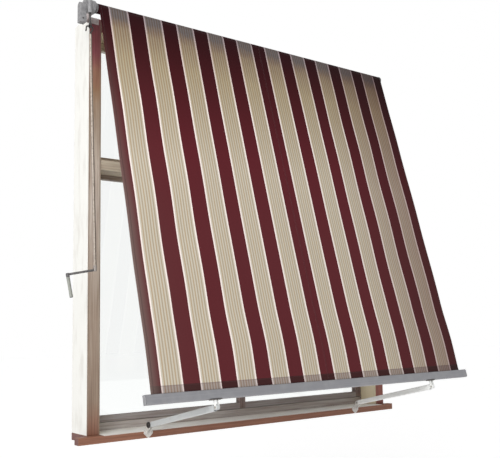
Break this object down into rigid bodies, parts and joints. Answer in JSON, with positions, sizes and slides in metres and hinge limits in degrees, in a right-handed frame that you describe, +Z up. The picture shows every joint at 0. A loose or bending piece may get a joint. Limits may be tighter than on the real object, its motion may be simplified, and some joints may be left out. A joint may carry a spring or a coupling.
{
  "type": "drop-arm awning on a window frame",
  "caption": "Wooden window frame with two casement leaves and a striped fabric awning on a roller, its front bar held out by two drop arms and wound by a hanging crank.",
  "frame": {"origin": "middle of the frame's back face, at the sill's underside", "axes": "+X to the right seen from outside, +Y into the house, +Z up"},
  "size_m": [2.6156, 0.9863, 2.522],
  "materials": {
    "wood": "worn brown stain",
    "glass": "clear",
    "hinge_steel": "dull zinc",
    "casting": "grey, matt",
    "steel": "zinc plated",
    "aluminium": "anodised, weathered",
    "white_paint": "white, satin",
    "cloth": "woven acrylic, bordeaux with beige stripes",
    "grey_plastic": "light grey",
    "dark_plastic": "dark grey"
  },
  "bodies": {
    "frame": {"left_jamb": "wood", "right_jamb": "wood", "head_rail": "wood", "transom": "wood", "bottom_rail": "wood", "sill_board": "wood", "top_light_sash": "wood", "top_light_glass": "glass", "left_frame_hinge_low": "hinge_steel", "left_frame_hinge_high": "hinge_steel", "right_frame_hinge_low": "hinge_steel", "right_frame_hinge_high": "hinge_steel", "left_wall_bracket": "casting", "right_wall_bracket": "casting", "winch_case": "casting", "winch_cover": "casting", "cloth_sheet": "cloth", "left_sill_bracket": "white_paint", "right_sill_bracket": "white_paint", "left_lower_pin": "steel", "right_lower_pin": "steel"},
    "left_leaf": {"left_leaf_hinge_stile": "wood", "left_leaf_meeting_stile": "wood", "left_leaf_bottom_rail": "wood", "left_leaf_top_rail": "wood", "left_leaf_glass": "glass", "left_leaf_hinge_low": "hinge_steel", "left_leaf_hinge_high": "hinge_steel"},
    "right_leaf": {"right_leaf_hinge_stile": "wood", "right_leaf_meeting_stile": "wood", "right_leaf_bottom_rail": "wood", "right_leaf_top_rail": "wood", "right_leaf_glass": "glass", "right_leaf_hinge_low": "hinge_steel", "right_leaf_hinge_high": "hinge_steel"},
    "roller": {"roller_tube": "aluminium", "roller_plug_left": "casting", "roller_plug_right": "casting", "cloth_roll": "cloth", "worm_wheel": "steel"},
    "worm": {"worm_shaft": "steel"},
    "crank_rod_body": {"crank_hook": "steel", "crank_rod": "steel", "crank_elbow": "dark_plastic"},
    "crank_arm_body": {"crank_arm": "steel"},
    "crank_handle_body": {"crank_handle": "dark_plastic"},
    "crank_grip_body": {"crank_grip": "grey_plastic"},
    "left_arm": {"left_arm_tube": "white_paint", "left_arm_lower_eye": "white_paint", "left_arm_upper_eye": "white_paint"},
    "right_arm": {"right_arm_tube": "white_paint", "right_arm_lower_eye": "white_paint", "right_arm_upper_eye": "white_paint"},
    "bar": {"front_bar": "aluminium", "bar_cap_left": "grey_plastic", "bar_cap_right": "grey_plastic", "left_bar_bracket": "white_paint", "right_bar_bracket": "white_paint", "left_upper_pin": "steel", "right_upper_pin": "steel"}
  },
  "joints": [
    {"name": "left_leaf_swing", "type": "hinge", "parent": "frame", "child": "left_leaf", "pos_m": [-1.1135, 0.0053, 0.8], "axis": [0, 0, 1], "range_deg": [0, 95]},
    {"name": "right_leaf_swing", "type": "hinge", "parent": "frame", "child": "right_leaf", "pos_m": [1.1135, 0.0053, 0.8], "axis": [0, 0, -1], "range_deg": [0, 95]},
    {"name": "roller_spin", "type": "hinge", "parent": "frame", "child": "roller", "pos_m": [0, -0.326, 2.482], "axis": [1, 0, 0], "continuous": true},
    {"name": "worm_spin", "type": "hinge", "parent": "frame", "child": "worm", "pos_m": [-1.26812, -0.368, 2.35], "axis": [0.0286, 0, -0.9996], "continuous": true},
    {"name": "rod_swing", "type": "hinge", "parent": "worm", "child": "crank_rod_body", "pos_m": [-1.26812, -0.368, 2.3448], "axis": [-1, 0, 0], "range_deg": [-3, 40]},
    {"name": "elbow_fold", "type": "hinge", "parent": "crank_rod_body", "child": "crank_arm_body", "pos_m": [-1.22825, -0.368, 0.95237], "axis": [-0.1488, -0.9889, -0.0043], "range_deg": [0, 80]},
    {"name": "wrist_fold", "type": "hinge", "parent": "crank_arm_body", "child": "crank_handle_body", "pos_m": [-1.38001, -0.34505, 0.92448], "axis": [0.1488, 0.9889, 0.0043], "range_deg": [0, 80]},
    {"name": "grip_spin", "type": "hinge", "parent": "crank_handle_body", "child": "crank_grip_body", "pos_m": [-1.38001, -0.34505, 0.92448], "axis": [0.1774, -0.0225, -0.9839], "continuous": true},
    {"name": "left_arm_swing", "type": "hinge", "parent": "frame", "child": "left_arm", "pos_m": [-0.838, -0.288, 0.077], "axis": [-1, 0, 0], "range_deg": [0, 75], "deforming": ["cloth_sheet"]},
    {"name": "right_arm_swing", "type": "hinge", "parent": "frame", "child": "right_arm", "pos_m": [0.838, -0.288, 0.077], "axis": [-1, 0, 0], "range_deg": [0, 75]},
    {"name": "bar_tilt", "type": "hinge", "parent": "left_arm", "child": "bar", "pos_m": [-0.838, -0.96304, 0.22083], "axis": [-1, 0, 0], "range_deg": [-90, 0]}
  ],
  "couplings": [
    {"joint": "worm_spin", "follows": "roller_spin", "ratio": 7},
    {"joint": "right_arm_swing", "follows": "left_arm_swing", "ratio": 1},
    {"joint": "bar_tilt", "follows": "left_arm_swing", "ratio": -1.2}
  ]
}
